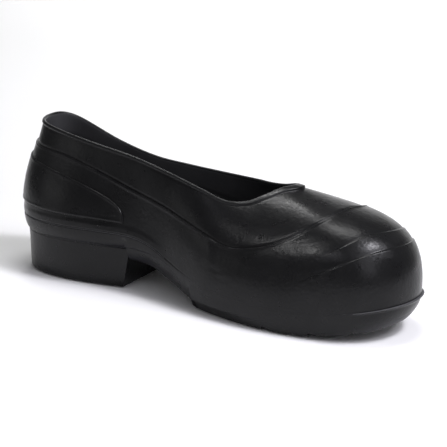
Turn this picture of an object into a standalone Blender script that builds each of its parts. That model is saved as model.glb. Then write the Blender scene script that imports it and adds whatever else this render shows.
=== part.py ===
"""Low slip-on overshoe of black moulded rubber for the left foot, with ice studs in its sole.

The toe points to +X, up is +Z, and the inner (medial) side of the foot faces -Y.  The origin is on
the floor under the middle of the shoe.  Lengths below are in millimetres, and each mesh is built in
metres.  from_heel is measured forward from the back of the tread.
"""
import math

import bmesh
import bpy
import numpy as np

MM = 0.001

# Driving sizes
CENTRE_FROM_HEEL = 156.54  # the origin, half way between the heel counter and the toe lip
CENTRE_ACROSS = -0.08      # and half way between the widest places of the two sides
TREAD_HEIGHT = 1.2         # the studs hold the tread this far off the floor
HEEL_SEAT = 31.4           # underside of the outsole over the heel block
BREAST_TOP = 24.0          # underside of the outsole just in front of the heel block
WAIST_FRONT = 6.6          # underside of the waist where the forefoot tread begins
GROOVE_DEPTH = 3.8
GROOVE_FACE = 0.6          # run of the steep rear face of each groove
GROOVE_RUN = 9.0           # run of the smooth ramp on its toe side
TOE_SPRING = 9.0           # lift of the tread at the tip of the toe
SPRING_START = 236.0
WALL = 2.2                 # rubber of the upper
GAP = 0.35                 # between pieces that meet
EDGE_CHAMFER = 0.9
RAND_STEP = 0.5            # half of the step along the side of the sole, outwards and upwards
TOE_LIP = 1.4              # lip of the sole edge round the toe
LIP_DEPTH = 1.6            # height of the lip's slope below the top edge of the sole
LIP_ROUND = 0.4
RIM_WIDTH = 3.4            # flat top edge of the sole that carries the upper
FLOOR_FILLET = 4.0         # run of the slope from that edge down to the floor of the shoe
SEAM_STEP = 0.9            # the lower part of the upper stands this far proud of the throat part
CAP_STEP = 0.5             # toe cap below its upper line
BUMPER_STEP = 0.7          # toe bumper below its lower line
BEAD = 0.8                 # rolled edge of the collar
THROAT_LIP = 2.4           # the same edge where it crosses the instep
BEAD_WIDTH = 0.035         # share of the wall's height that the bead takes
STEP_RUN = 0.007           # share of the wall's height over which a step rises
STATION_STEP = 10.5        # longest stretch of sole edge between two sections
STUD_RADIUS = 2.2
STUD_TIP_RADIUS = 1.1
STUD_DEPTH = 5.0
STUD_SHOULDER = 0.3        # the shank shows this far below the tread
STUD_SIDES = 10

# Tread outline: half breadths on both sides of the middle line
HEEL_END = (0.0, 0.0)
TOE_END = (312.0, -9.0)
OUTLINE_COLUMNS = ("from_heel", "medial", "lateral")
OUTLINE = (
    (2.0, 18.5, 18.5),
    (8.0, 27.5, 27.0),
    (18.0, 36.0, 34.5),
    (30.0, 41.0, 39.5),
    (48.0, 43.5, 42.0),
    (65.0, 43.0, 44.0),
    (82.0, 40.5, 45.5),
    (103.0, 36.8, 48.5),
    (120.0, 35.6, 51.0),
    (140.0, 38.5, 55.5),
    (160.0, 46.5, 59.3),
    (180.0, 54.5, 61.2),
    (205.0, 60.0, 60.3),
    (230.0, 62.0, 56.5),
    (255.0, 60.3, 48.5),
    (275.0, 56.0, 38.0),
    (290.0, 49.5, 27.5),
    (301.0, 40.0, 17.0),
    (308.5, 28.0, 6.0),
)

# Side of the sole: how far its bottom and top edges stand out past the tread outline, and the heights
# of the step along it, of its top edge and of the floor inside
SIDE_COLUMNS = ("from_heel", "bottom_out", "medial_out", "lateral_out", "line", "top", "floor")
SIDE = (
    (0.0, 1.6, 4.0, 4.0, 33.0, 44.0, 38.0),
    (50.0, 1.8, 4.6, 4.6, 33.0, 44.0, 38.0),
    (90.0, 1.8, 6.0, 4.4, 33.4, 44.2, 37.4),
    (110.0, 1.0, 7.6, 4.0, 34.6, 43.6, 34.6),
    (127.0, 0.0, 8.0, 3.6, 31.4, 40.0, 29.6),
    (144.0, 0.0, 6.6, 3.0, 27.0, 33.0, 23.0),
    (165.0, 0.0, 4.2, 2.4, 20.0, 25.6, 15.8),
    (190.0, 0.0, 2.2, 1.8, 13.0, 20.0, 11.0),
    (225.0, 0.0, 1.4, 1.4, 9.5, 17.5, 10.0),
    (260.0, 0.0, 1.8, 1.8, 11.0, 18.5, 11.4),
    (290.0, 0.0, 3.6, 3.6, 15.0, 23.0, 15.0),
    (312.0, 0.0, 6.0, 6.0, 19.0, 27.5, 19.0),
)
LIP_FADE = (268.0, 300.0)  # the toe lip grows along this stretch

# Lines across the tread: where each one meets the medial and the lateral edge, with a height in WAIST
BREAST = (104.9, 99.4)
WAIST = (
    (105.2, 99.7, BREAST_TOP),
    (125.0, 116.0, 20.6),
    (139.0, 129.0, 15.0),
    (152.0, 141.0, 10.8),
    (166.0, 154.0, WAIST_FRONT),
    (168.5, 156.5, TREAD_HEIGHT),
)
GROOVES = ((227.9, 188.8), (261.5, 230.7), (288.4, 270.6))
TREAD_END_BOW = 5.0        # the rear edge of the tread bows forward in its middle
TREAD_COLUMNS = 6          # faces across the tread
FLOOR_COLUMNS = 4          # and across the floor inside

# Levels of the heel block: height, how far it stands out, and how far its breast lies back
HEEL_LEVELS = (
    (TREAD_HEIGHT, -EDGE_CHAMFER, 5.0),
    (TREAD_HEIGHT + EDGE_CHAMFER, 0.0, 4.8),
    (BREAST_TOP, 1.0, 0.8),
    (HEEL_SEAT - GAP, 1.6, GAP),
)

# Sections of the upper: where each one starts on the sole edge, its point on the collar, the curve
# between them, and the shares of its height at which the raised lines run
SECTION_COLUMNS = ("side", "from_heel", "rim_x", "rim_y", "rim_z", "bulge", "wall", "crown", "lean",
                   "bumper", "cap", "seam")
SECTIONS = (
    ("medial", 0.0, 6.0, 0.0, 117.0, 3.5, 0.38, 24.0, 74.0, 0.14, 0.28, 0.74),
    ("medial", 18.0, 17.0, -22.0, 115.0, 2.5, 0.36, 24.0, 78.0, 0.14, 0.28, 0.74),
    ("medial", 50.0, 47.0, -31.5, 110.5, 1.0, 0.34, 24.0, 80.0, 0.14, 0.28, 0.76),
    ("medial", 84.0, 79.0, -34.0, 105.5, -1.5, 0.34, 24.0, 80.0, 0.14, 0.28, 0.74),
    ("medial", 115.0, 108.0, -35.0, 100.8, -3.0, 0.34, 22.0, 78.0, 0.14, 0.28, 0.57),
    ("medial", 145.0, 139.0, -36.0, 93.2, -1.5, 0.36, 22.0, 72.0, 0.14, 0.28, 0.52),
    ("medial", 175.0, 165.0, -36.8, 85.9, 0.0, 0.40, 24.0, 60.0, 0.14, 0.28, 0.50),
    ("medial", 202.0, 183.0, -35.2, 80.0, 0.0, 0.44, 28.0, 46.0, 0.14, 0.28, 0.49),
    ("medial", 228.0, 196.5, -29.8, 80.0, 0.0, 0.50, 36.0, 32.0, 0.15, 0.30, 0.52),
    ("medial", 255.0, 206.0, -20.5, 84.2, 0.0, 0.58, 48.0, 20.0, 0.21, 0.36, 0.57),
    ("medial", 280.0, 212.5, -11.0, 87.4, 0.5, 0.72, 60.0, 13.0, 0.28, 0.42, 0.62),
    ("medial", 302.0, 217.5, -4.5, 88.5, 1.0, 0.82, 67.0, 10.5, 0.325, 0.44, 0.65),
    ("medial", 312.0, 219.5, 0.0, 88.8, 1.0, 0.84, 68.0, 10.0, 0.33, 0.44, 0.66),
    ("lateral", 304.0, 218.5, 4.0, 88.5, 1.0, 0.82, 67.0, 10.5, 0.33, 0.44, 0.65),
    ("lateral", 288.0, 214.0, 9.5, 87.2, 1.0, 0.77, 62.0, 12.0, 0.31, 0.43, 0.63),
    ("lateral", 265.0, 204.0, 15.5, 84.8, 0.5, 0.66, 52.0, 17.0, 0.26, 0.40, 0.60),
    ("lateral", 238.0, 191.0, 21.5, 83.0, 0.0, 0.56, 44.0, 26.0, 0.18, 0.34, 0.55),
    ("lateral", 208.0, 174.0, 29.5, 82.2, 0.0, 0.48, 34.0, 38.0, 0.15, 0.29, 0.51),
    ("lateral", 178.0, 154.0, 34.5, 82.2, 0.0, 0.42, 26.0, 54.0, 0.14, 0.28, 0.52),
    ("lateral", 148.0, 135.0, 36.0, 83.0, -0.5, 0.38, 20.0, 66.0, 0.14, 0.28, 0.56),
    ("lateral", 118.0, 110.0, 35.5, 84.8, -1.5, 0.34, 18.0, 74.0, 0.14, 0.28, 0.62),
    ("lateral", 88.0, 84.0, 34.5, 87.5, -1.0, 0.34, 18.0, 78.0, 0.14, 0.28, 0.70),
    ("lateral", 52.0, 50.0, 33.0, 96.5, 1.0, 0.34, 22.0, 80.0, 0.14, 0.28, 0.74),
    ("lateral", 18.0, 17.0, 22.0, 113.5, 2.5, 0.36, 24.0, 78.0, 0.14, 0.28, 0.74),
)
TOE_LINES_FADE = (248.0, 276.0)   # the toe cap's lines die out along this stretch of the sides
THROAT_STRETCH = (232.0, 285.0)   # sections that start along this stretch end at the throat
COUNTER_FRONT = 103.0             # the heel counter reaches forward this far on both sides
COUNTER_LOW = 0.17                # shares of the wall's height between which it lies
COUNTER_HIGH = 0.60
COUNTER_THICKNESS = 0.8
COUNTER_CORNER = 2.6              # roundness of its upper front corners
COUNTER_END = 0.08                # share of its height that is left at the front
COUNTER_NOSE = (0.93, 0.985, 1.0)  # extra sections near the front, as shares of its reach
COUNTER_ROWS = 4
ROWS_BUMPER = 3
ROWS_CAP = 1
ROWS_FLANK = 3
ROWS_THROAT = 3

# Studs: distance from the heel and from the middle line, the inner side negative
FOREFOOT_STUDS = (
    (300.4, -8.7), (297.9, -26.2), (290.5, 13.2), (274.9, -40.8), (265.8, -3.0),
    (256.8, 35.6), (243.3, -46.5), (234.2, -16.1), (225.1, 15.0), (215.5, 45.8),
    (208.2, -48.3), (198.1, -17.3), (187.1, 13.5), (176.2, 45.2),
)
HEEL_STUDS = (
    (77.3, 31.6), (79.2, 2.0), (81.7, -27.9), (54.0, 31.2), (56.0, -0.3),
    (58.5, -31.5), (31.1, 27.2), (35.7, -31.8), (10.0, 10.0), (12.2, -16.7),
)

RUBBER_BLACK = (0.012, 0.012, 0.013, 1.0)
SOLE_BLACK = (0.014, 0.014, 0.016, 1.0)
STUD_STEEL = (0.62, 0.62, 0.63, 1.0)


def column(table, columns, name):
    """One named column of a table, as an array."""
    return np.array([row[columns.index(name)] for row in table], dtype=float)


def smooth(knots, values, at):
    """Smooth curve through values at rising knots, with slopes taken from the neighbours."""
    slopes = np.gradient(values, knots, axis=0)
    span = np.clip(np.searchsorted(knots, at, side="right") - 1, 0, len(knots) - 2)
    width = knots[span + 1] - knots[span]
    t = (at - knots[span]) / width
    if np.ndim(values) > 1:
        t = t[:, None]
        width = width[:, None]
    start = values[span] * (2 * t ** 3 - 3 * t ** 2 + 1) + slopes[span] * width * (t ** 3 - 2 * t ** 2 + t)
    end = values[span + 1] * (3 * t ** 2 - 2 * t ** 3) + slopes[span + 1] * width * (t ** 3 - t ** 2)
    return start + end


def smooth_step(low, high, value):
    t = np.clip((value - low) / (high - low), 0.0, 1.0)
    return t * t * (3 - 2 * t)


def trace_outline(samples=2400, wrap=4):
    """The tread outline as two edges from the heel to the toe: distance along, points and normals."""
    from_heel = column(OUTLINE, OUTLINE_COLUMNS, "from_heel")
    medial = np.stack([from_heel, -column(OUTLINE, OUTLINE_COLUMNS, "medial")], 1)
    lateral = np.stack([from_heel, column(OUTLINE, OUTLINE_COLUMNS, "lateral")], 1)
    loop = np.vstack([[HEEL_END], medial, [TOE_END], lateral[::-1]])
    ring = np.vstack([loop[-wrap:], loop, loop[:wrap + 1]])
    knots = np.concatenate([[0.0], np.cumsum(np.linalg.norm(np.diff(ring, axis=0), axis=1))])
    heel, toe, back = knots[wrap], knots[wrap + len(medial) + 1], knots[wrap + len(loop)]
    edges = {}
    for side, start, stop, turn in (("medial", heel, toe, 1.0), ("lateral", back, toe, -1.0)):
        at = np.linspace(start, stop, samples)
        points = smooth(knots, ring, at)
        along = np.concatenate([[0.0], np.cumsum(np.linalg.norm(np.diff(points, axis=0), axis=1))])
        tangent = np.gradient(points, along, axis=0)
        normal = np.stack([tangent[:, 1], -tangent[:, 0]], 1) * turn
        normal /= np.linalg.norm(normal, axis=1)[:, None]
        edges[side] = {"share": along / along[-1], "length": along[-1], "points": points, "normals": normal}
    for end in (0, -1):
        shared = edges["medial"]["normals"][end] + edges["lateral"]["normals"][end]
        for side in edges:
            edges[side]["normals"][end] = shared / np.linalg.norm(shared)
    return edges


EDGES = trace_outline()


def share_at(side, from_heel):
    """How far along an edge, from 0 at the heel to 1 at the toe, it passes a distance from the heel."""
    edge = EDGES[side]
    return float(np.interp(from_heel, edge["points"][:, 0], edge["share"]))


def edge_at(around):
    """Points and outward normals of the tread outline; around runs 0 heel, 1 toe, 2 heel again."""
    around = np.mod(around, 2.0)
    points = np.empty((len(around), 2))
    normals = np.empty((len(around), 2))
    for side, mask, share in (("medial", around <= 1.0, around), ("lateral", around > 1.0, 2.0 - around)):
        edge = EDGES[side]
        for axis in (0, 1):
            points[mask, axis] = np.interp(share[mask], edge["share"], edge["points"][:, axis])
            normals[mask, axis] = np.interp(share[mask], edge["share"], edge["normals"][:, axis])
    return points, normals / np.linalg.norm(normals, axis=1)[:, None]


def side_value(name, from_heel):
    knots = column(SIDE, SIDE_COLUMNS, "from_heel")
    return smooth(knots, column(SIDE, SIDE_COLUMNS, name), np.clip(from_heel, knots[0], knots[-1]))


def top_out(around, from_heel):
    """How far the top edge of the sole stands out past the tread outline."""
    medial = side_value("medial_out", from_heel)
    return np.where(np.mod(around, 2.0) <= 1.0, medial, side_value("lateral_out", from_heel))


def spring(from_heel):
    """Lift of the tread towards the toe."""
    run = np.clip((from_heel - SPRING_START) / (TOE_END[0] - SPRING_START), 0.0, None)
    return TOE_SPRING * run ** 2


def tread_stations():
    """Rungs across the sole from the heel to the toe, each with its two edge shares and its height."""
    rows = [(*BREAST, HEEL_SEAT), *WAIST]
    for medial, lateral in GROOVES:
        for run, depth in ((0.0, 0.0), (GROOVE_FACE, GROOVE_DEPTH), (GROOVE_RUN, 0.0)):
            rows.append((medial + run, lateral + run, TREAD_HEIGHT + depth))
    marks = [(0.0, 0.0, HEEL_SEAT)]
    for medial, lateral, height in rows:
        marks.append((share_at("medial", medial), share_at("lateral", lateral), height))
    marks.append((1.0, 1.0, TREAD_HEIGHT))
    lengths = [EDGES[side]["length"] for side in ("medial", "lateral")]
    stations = []
    for last, row in zip(marks, marks[1:]):
        stretch = max((row[side] - last[side]) * lengths[side] for side in (0, 1))
        count = math.ceil(stretch / STATION_STEP)
        for i in range(1, count + 1):
            stations.append(tuple(a + (b - a) * i / count for a, b in zip(last, row)))
    return stations[:-1]


STATIONS = tread_stations()
MEDIAL_SHARES = np.array([row[0] for row in STATIONS])
LATERAL_SHARES = np.array([row[1] for row in STATIONS])
AROUND = np.concatenate([[0.0], MEDIAL_SHARES, [1.0], 2.0 - LATERAL_SHARES[::-1]])
RUNGS = len(STATIONS)
EDGE_HEIGHTS = np.array([row[2] for row in STATIONS])
RING_HEIGHTS = np.concatenate([[HEEL_SEAT], EDGE_HEIGHTS, [TREAD_HEIGHT], EDGE_HEIGHTS[::-1]])


def section_values(around):
    """The columns of SECTIONS at any place round the shoe."""
    names = SECTION_COLUMNS[2:]
    places = []
    for row in SECTIONS:
        share = share_at(row[0], row[1])
        places.append(share if row[0] == "medial" else 2.0 - share)
    order = np.argsort(places)
    knots = np.array(places)[order]
    values = np.array([row[2:] for row in SECTIONS], dtype=float)[order]
    knots = np.concatenate([knots - 2.0, knots, knots + 2.0])
    values = np.vstack([values, values, values])
    found = smooth(knots, values, np.mod(around, 2.0))
    return {name: found[:, i] for i, name in enumerate(names)}


def upper_base(around, height):
    """Points of the upper's outer wall without its raised lines; height runs 0 sole, 1 collar."""
    points, normals = edge_at(around)
    row = section_values(around)
    out = top_out(around, points[:, 0])
    foot = np.column_stack([points + normals * (out - GAP)[:, None], side_value("top", points[:, 0]) + GAP])
    rim = np.column_stack([row["rim_x"], row["rim_y"], row["rim_z"]])
    inward = (rim - foot) * (1.0, 1.0, 0.0)
    inward /= np.linalg.norm(inward, axis=1)[:, None]
    lean = np.radians(row["lean"])[:, None]
    up = np.array([0.0, 0.0, 1.0])
    rise = (row["wall"] * (rim[:, 2] - foot[:, 2]))[:, None]
    low = foot + np.column_stack([normals, np.zeros(len(around))]) * row["bulge"][:, None] + up * rise
    high = rim - (inward * np.cos(lean) + up * np.sin(lean)) * row["crown"][:, None]
    t = height[:, None]
    return (foot * (1 - t) ** 3 + low * 3 * t * (1 - t) ** 2 + high * 3 * t ** 2 * (1 - t) + rim * t ** 3)


def upper_point(around, height, relief, delta=0.004):
    """Points of the upper's outer wall, raised from the base by relief along its normals."""
    along = upper_base(around + delta, height) - upper_base(around - delta, height)
    low, high = np.clip(height - delta, 0.0, 1.0), np.clip(height + delta, 0.0, 1.0)
    rise = upper_base(around, high) - upper_base(around, low)
    normal = np.cross(along, rise)
    normal /= np.linalg.norm(normal, axis=1)[:, None]
    return upper_base(around, height) + normal * relief[:, None]


def upper_rows(around):
    """Rings of the upper from the sole to the collar, each with its heights and its relief."""
    row = section_values(around)
    points, _ = edge_at(around)
    toe = smooth_step(*TOE_LINES_FADE, points[:, 0])
    none = np.zeros(len(around))
    collar = np.full(len(around), 1.0 - BEAD_WIDTH)
    top = np.ones(len(around))
    zones = (
        (none, row["bumper"], SEAM_STEP + (CAP_STEP + BUMPER_STEP) * toe, ROWS_BUMPER),
        (row["bumper"], row["cap"], SEAM_STEP + CAP_STEP * toe, ROWS_CAP),
        (row["cap"], row["seam"], SEAM_STEP + none, ROWS_FLANK),
        (row["seam"], collar, none, ROWS_THROAT),
        (collar, top, BEAD + (THROAT_LIP - BEAD) * smooth_step(*THROAT_STRETCH, points[:, 0]), 1),
    )
    rings = []
    for i, (low, high, relief, count) in enumerate(zones):
        first = low if i == 0 else low + STEP_RUN / 2
        last = high if i == len(zones) - 1 else high - STEP_RUN / 2
        for j in range(count + 1):
            rings.append((first + (last - first) * j / count, relief))
    return rings


def in_metres(point):
    return ((point[0] - CENTRE_FROM_HEEL) * MM, (point[1] - CENTRE_ACROSS) * MM, point[2] * MM)


def add_ring(bm, points):
    return [bm.verts.new(in_metres(point)) for point in points]


def join_rings(bm, low, high):
    count = len(low)
    for i in range(count):
        j = (i + 1) % count
        bm.faces.new((low[i], low[j], high[j], high[i]))


def close_between(bm, left, right, columns, place):
    """Fill between two edges with rows of faces; place gives the points inside each row."""
    rows = []
    for i, (a, b) in enumerate(zip(left, right)):
        if a is b:
            rows.append([a])
            continue
        inner = [bm.verts.new(in_metres(place(i, j / columns))) for j in range(1, columns)]
        rows.append([a, *inner, b])
    for low, high in zip(rows, rows[1:]):
        for j in range(columns):
            corners = [low[min(j, len(low) - 1)], low[min(j + 1, len(low) - 1)]]
            corners += [high[min(j + 1, len(high) - 1)], high[min(j, len(high) - 1)]]
            bm.faces.new(list(dict.fromkeys(corners)))


def add_object(name, bm, material, collection, sharp_angle=35.0):
    bmesh.ops.recalc_face_normals(bm, faces=bm.faces[:])
    mesh = bpy.data.meshes.new(name)
    bm.to_mesh(mesh)
    bm.free()
    mesh.shade_smooth()
    mesh.set_sharp_from_angle(angle=math.radians(sharp_angle))
    obj = bpy.data.objects.new(name, mesh)
    collection.objects.link(obj)
    if material:
        mesh.materials.append(material)
    return obj


def add_material(name, colour, roughness, metallic=0.0):
    material = bpy.data.materials.new(name)
    material.use_nodes = True
    shader = material.node_tree.nodes["Principled BSDF"]
    shader.inputs["Base Color"].default_value = colour
    shader.inputs["Roughness"].default_value = roughness
    shader.inputs["Metallic"].default_value = metallic
    return material


def make_upper(material, collection):
    """One open sheet through the sections, given the rubber's thickness on its inner side."""
    bm = bmesh.new()
    rings = [add_ring(bm, upper_point(AROUND, height, relief)) for height, relief in upper_rows(AROUND)]
    for low, high in zip(rings, rings[1:]):
        join_rings(bm, low, high)
    obj = add_object("upper", bm, material, collection)
    wall = obj.modifiers.new("rubber wall", "SOLIDIFY")
    wall.thickness = WALL * MM
    wall.offset = -1.0
    return obj


def border(sheet):
    """The vertices round the edge of a sheet of rows."""
    right = [row[-1] for row in sheet[1:]]
    left = [row[0] for row in sheet[-2:0:-1]]
    return sheet[0] + right + sheet[-1][-2::-1] + left


def make_counter(material, collection):
    """The heel counter, a patch between two copies of the upper's own wall and on its sections."""
    bm = bmesh.new()
    front = share_at("medial", COUNTER_FRONT)
    nose = np.array(COUNTER_NOSE) * front
    around = np.where(AROUND > 1.0, AROUND - 2.0, AROUND)
    around = np.sort(np.concatenate([around[np.abs(around) < nose[0]], nose, -nose]))
    columns = len(around) - 1
    reach = np.minimum(np.abs(around) / front, 1.0)
    tall = COUNTER_END + (1.0 - COUNTER_END) * (1.0 - reach ** COUNTER_CORNER) ** (1.0 / COUNTER_CORNER)
    sheets = []
    for relief in (SEAM_STEP + GAP, SEAM_STEP + GAP + COUNTER_THICKNESS):
        sheet = []
        for j in range(COUNTER_ROWS + 1):
            height = COUNTER_LOW + (COUNTER_HIGH - COUNTER_LOW) * tall * j / COUNTER_ROWS
            sheet.append(add_ring(bm, upper_point(around, height, np.full(columns + 1, relief))))
        sheets.append(sheet)
    inner, outer = sheets
    for sheet in sheets:
        for low, high in zip(sheet, sheet[1:]):
            for i in range(columns):
                bm.faces.new((low[i], low[i + 1], high[i + 1], high[i]))
    join_rings(bm, border(inner), border(outer))
    return add_object("heel_counter", bm, material, collection)


def sole_rings():
    """Rings of the outsole from the tread edge up to its top edge and in onto the floor of the shoe."""
    points, normals = edge_at(AROUND)
    from_heel = points[:, 0]
    bottom = RING_HEIGHTS + np.where(RING_HEIGHTS < WAIST_FRONT, spring(from_heel), 0.0)
    top = side_value("top", from_heel)
    line = np.maximum(side_value("line", from_heel), bottom + 2 * EDGE_CHAMFER)
    low_out, high_out = side_value("bottom_out", from_heel), top_out(AROUND, from_heel)
    lip = TOE_LIP * smooth_step(*LIP_FADE, from_heel)
    line_out = low_out + (high_out - low_out) * (line - bottom) / (top - bottom)
    levels = (
        (low_out - EDGE_CHAMFER, bottom),
        (low_out, bottom + EDGE_CHAMFER),
        (line_out - RAND_STEP, line - RAND_STEP),
        (line_out + RAND_STEP, line + RAND_STEP),
        (high_out, top - LIP_DEPTH),
        (high_out + lip, top - LIP_ROUND),
        (high_out + lip - LIP_ROUND, top),
        (high_out - RIM_WIDTH, top),
        (high_out - RIM_WIDTH - FLOOR_FILLET, side_value("floor", from_heel)),
    )
    return [np.column_stack([points + normals * out[:, None], height]) for out, height in levels]


def sides_of(ring, rungs):
    """The two edges of a ring, rung by rung from the heel to the toe."""
    medial = list(ring[:rungs + 2])
    lateral = [ring[0]] + list(ring[rungs + 2:][::-1]) + [ring[rungs + 1]]
    return medial, lateral


def make_outsole(material, collection):
    bm = bmesh.new()
    levels = sole_rings()
    rings = [add_ring(bm, level) for level in levels]
    for low, high in zip(rings, rings[1:]):
        join_rings(bm, low, high)

    ends = [share_at("medial", row[0]) for row in WAIST[-2:]]
    tread_end = [i + 1 for i, row in enumerate(STATIONS) if min(abs(row[0] - end) for end in ends) < 1e-6]

    def across(level, bow=0.0):
        medial, lateral = sides_of(level, RUNGS)

        def place(rung, share):
            point = medial[rung] * (1 - share) + lateral[rung] * share
            forward = bow * math.sin(math.pi * share) if rung in tread_end else 0.0
            return point + np.array([forward, 0.0, 0.0])

        return place

    close_between(bm, *sides_of(rings[0], RUNGS), TREAD_COLUMNS, across(levels[0], TREAD_END_BOW))
    close_between(bm, *sides_of(rings[-1], RUNGS), FLOOR_COLUMNS, across(levels[-1]))
    return add_object("outsole", bm, material, collection)


def make_heel(material, collection):
    """The heel block under the heel seat, with a breast that leans forward at its top."""
    count = sum(1 for row in STATIONS if row[0] < share_at("medial", BREAST[0]) - 0.001)
    bm = bmesh.new()
    rings = []
    for height, out, back in HEEL_LEVELS:
        breast = [share_at(side, x - back) for side, x in zip(("medial", "lateral"), BREAST)]
        medial = np.concatenate([[0.0], MEDIAL_SHARES[:count], [breast[0]]])
        lateral = np.concatenate([LATERAL_SHARES[:count], [breast[1]]])
        points, normals = edge_at(np.concatenate([medial, 2.0 - lateral[::-1]]))
        ring = np.column_stack([points + normals * out, np.full(len(points), height)])
        rings.append(add_ring(bm, ring))
    for low, high in zip(rings, rings[1:]):
        join_rings(bm, low, high)
    for ring in (rings[0], rings[-1]):
        left = ring[:count + 2]
        right = [ring[0]] + ring[count + 2:][::-1]
        close_between(bm, left, right, 1, None)
    return add_object("heel", bm, material, collection)


def tread_at(from_heel):
    return TREAD_HEIGHT + float(spring(np.array(from_heel)))


def make_bores(name, places, collection):
    """Bores for the studs, used only as a cutter."""
    bm = bmesh.new()
    radius = STUD_RADIUS + GAP
    depth = STUD_DEPTH + GAP
    for from_heel, across in places:
        made = bmesh.ops.create_cone(bm, cap_ends=True, segments=STUD_SIDES, radius1=radius * MM,
                                     radius2=radius * MM, depth=2 * depth * MM)
        mouth = in_metres((from_heel, across, tread_at(from_heel)))
        bmesh.ops.translate(bm, verts=made["verts"], vec=mouth)
    cutter = add_object(name, bm, None, collection)
    cutter.hide_render = True
    cutter.display_type = "WIRE"
    return cutter


def cut(obj, cutter):
    difference = obj.modifiers.new("stud bores", "BOOLEAN")
    difference.operation = "DIFFERENCE"
    difference.object = cutter


def stud_mesh(material):
    """A stud turned from its profile: shank, shoulder at the tread and a tapered tip."""
    profile = (
        (0.0, STUD_DEPTH),
        (STUD_RADIUS, STUD_DEPTH),
        (STUD_RADIUS, -STUD_SHOULDER),
        (STUD_TIP_RADIUS, -TREAD_HEIGHT),
        (0.0, -TREAD_HEIGHT),
    )
    mesh = bpy.data.meshes.new("stud")
    edges = [(i, i + 1) for i in range(len(profile) - 1)]
    mesh.from_pydata([(r * MM, 0.0, z * MM) for r, z in profile], edges, [])
    mesh.materials.append(material)
    return mesh


def make_studs(material, collection):
    mesh = stud_mesh(material)
    for i, (from_heel, across) in enumerate(FOREFOOT_STUDS + HEEL_STUDS, start=1):
        stud = bpy.data.objects.new("stud_%02d" % i, mesh)
        stud.location = in_metres((from_heel, across, tread_at(from_heel)))
        collection.objects.link(stud)
        turn = stud.modifiers.new("turned", "SCREW")
        turn.angle = math.tau
        turn.steps = STUD_SIDES
        turn.render_steps = STUD_SIDES
        turn.use_merge_vertices = True
        turn.merge_threshold = 0.00001


def add_collection(name):
    collection = bpy.data.collections.new(name)
    bpy.context.scene.collection.children.link(collection)
    return collection


def main():
    for obj in list(bpy.data.objects):
        bpy.data.objects.remove(obj)
    shoe = add_collection("studded overshoe")
    cutters = add_collection("cutters")
    upper_rubber = add_material("moulded upper rubber", RUBBER_BLACK, 0.38)
    sole_rubber = add_material("moulded sole rubber", SOLE_BLACK, 0.5)
    steel = add_material("stud steel", STUD_STEEL, 0.3, metallic=1.0)
    make_upper(upper_rubber, shoe)
    make_counter(upper_rubber, shoe)
    cut(make_outsole(sole_rubber, shoe), make_bores("forefoot_bores", FOREFOOT_STUDS, cutters))
    cut(make_heel(sole_rubber, shoe), make_bores("heel_bores", HEEL_STUDS, cutters))
    make_studs(steel, shoe)


main()
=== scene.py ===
"""Looks of a low slip-on overshoe of black moulded rubber for the left foot, with ice studs in its sole.

Shapes are worked out in millimetres: from_heel runs forward from the back of the tread, across is positive on
the outer side of the foot, and height is above the floor.  Meshes are in metres, in the frame of the solids.
"""
import math

import bpy
import numpy as np
from mathutils import Matrix, Vector


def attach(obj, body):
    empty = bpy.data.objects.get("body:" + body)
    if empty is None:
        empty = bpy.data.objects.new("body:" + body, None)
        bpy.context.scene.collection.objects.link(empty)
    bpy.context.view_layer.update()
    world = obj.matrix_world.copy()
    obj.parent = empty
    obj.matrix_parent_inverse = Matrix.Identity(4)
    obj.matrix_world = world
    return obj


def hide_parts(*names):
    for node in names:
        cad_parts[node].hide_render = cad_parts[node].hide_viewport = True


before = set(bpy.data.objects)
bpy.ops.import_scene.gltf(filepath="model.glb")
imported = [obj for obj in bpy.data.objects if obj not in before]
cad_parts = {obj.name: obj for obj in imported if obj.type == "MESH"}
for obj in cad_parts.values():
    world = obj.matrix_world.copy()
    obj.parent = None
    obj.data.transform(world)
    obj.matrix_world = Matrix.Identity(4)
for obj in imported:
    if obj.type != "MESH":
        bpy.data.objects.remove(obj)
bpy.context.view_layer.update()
bpy.ops.object.select_all(action="DESELECT")

MM = 0.001

# Sizes shared with the solids
CENTRE_FROM_HEEL = 156.54
CENTRE_ACROSS = -0.08
TREAD_HEIGHT = 1.2
HEEL_SEAT = 31.4
BREAST_TOP = 24.0
WAIST_FRONT = 6.6
TOE_SPRING = 9.0
SPRING_START = 236.0
WALL = 2.2
EDGE_CHAMFER = 0.9
SEAM_STEP = 0.9
CAP_STEP = 0.5
BUMPER_STEP = 0.7
BEAD = 0.8
BEAD_WIDTH = 0.035         # share of the wall's height that the collar's rolled edge takes
TREAD_END_BOW = 5.0
STUD_RADIUS = 2.2
STUD_DEPTH = 5.0

# Sizes of the finer surface
SEAT_GAP = 0.05            # between the upper and the edge of the sole that carries it
THROAT_LIP = 1.6           # rolled edge of the collar where it crosses the instep
BEAD_BAND = 2.3            # least breadth of that edge
RIM_ROUND = 0.9            # height of its rounded top, as a share of half its thickness
BUMPER_RIDGE = 0.3         # ridge along each raised line, as a share of the one in LINE_PROFILE
CAP_RIDGE = 0.2
SEAM_RIDGE = 1.0
SEAM_TOE_RIDGE = 0.7       # added over the toe
COLLAR_RIDGE = 0.25
FOX = 0.4                  # soft band at the foot of the upper round the heel
FOX_TOP = (3.8, 7.4)       # its upper slope, above the sole
FOX_FADE = (112.0, 150.0)
JOINT_DEPTH = 0.45         # groove where the upper meets the sole, from the heel to the waist
JOINT_WIDTH = 0.9
JOINT_FADE = (135.0, 175.0)
TOE_LIP = 1.7              # past the toe bumper above it
LIP_FADE = (274.0, 306.0)
INNER_SOFT = 0.06          # share of the height over which the inside follows a step of the outside
RIM_WIDTH = 2.5            # flat top edge of the sole, which carries the upper
FLOOR_FILLET = 5.0
BORE_CLEARANCE = 0.1
FACING = 0.5               # a face of the sole counts as underside or floor past this slope

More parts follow.
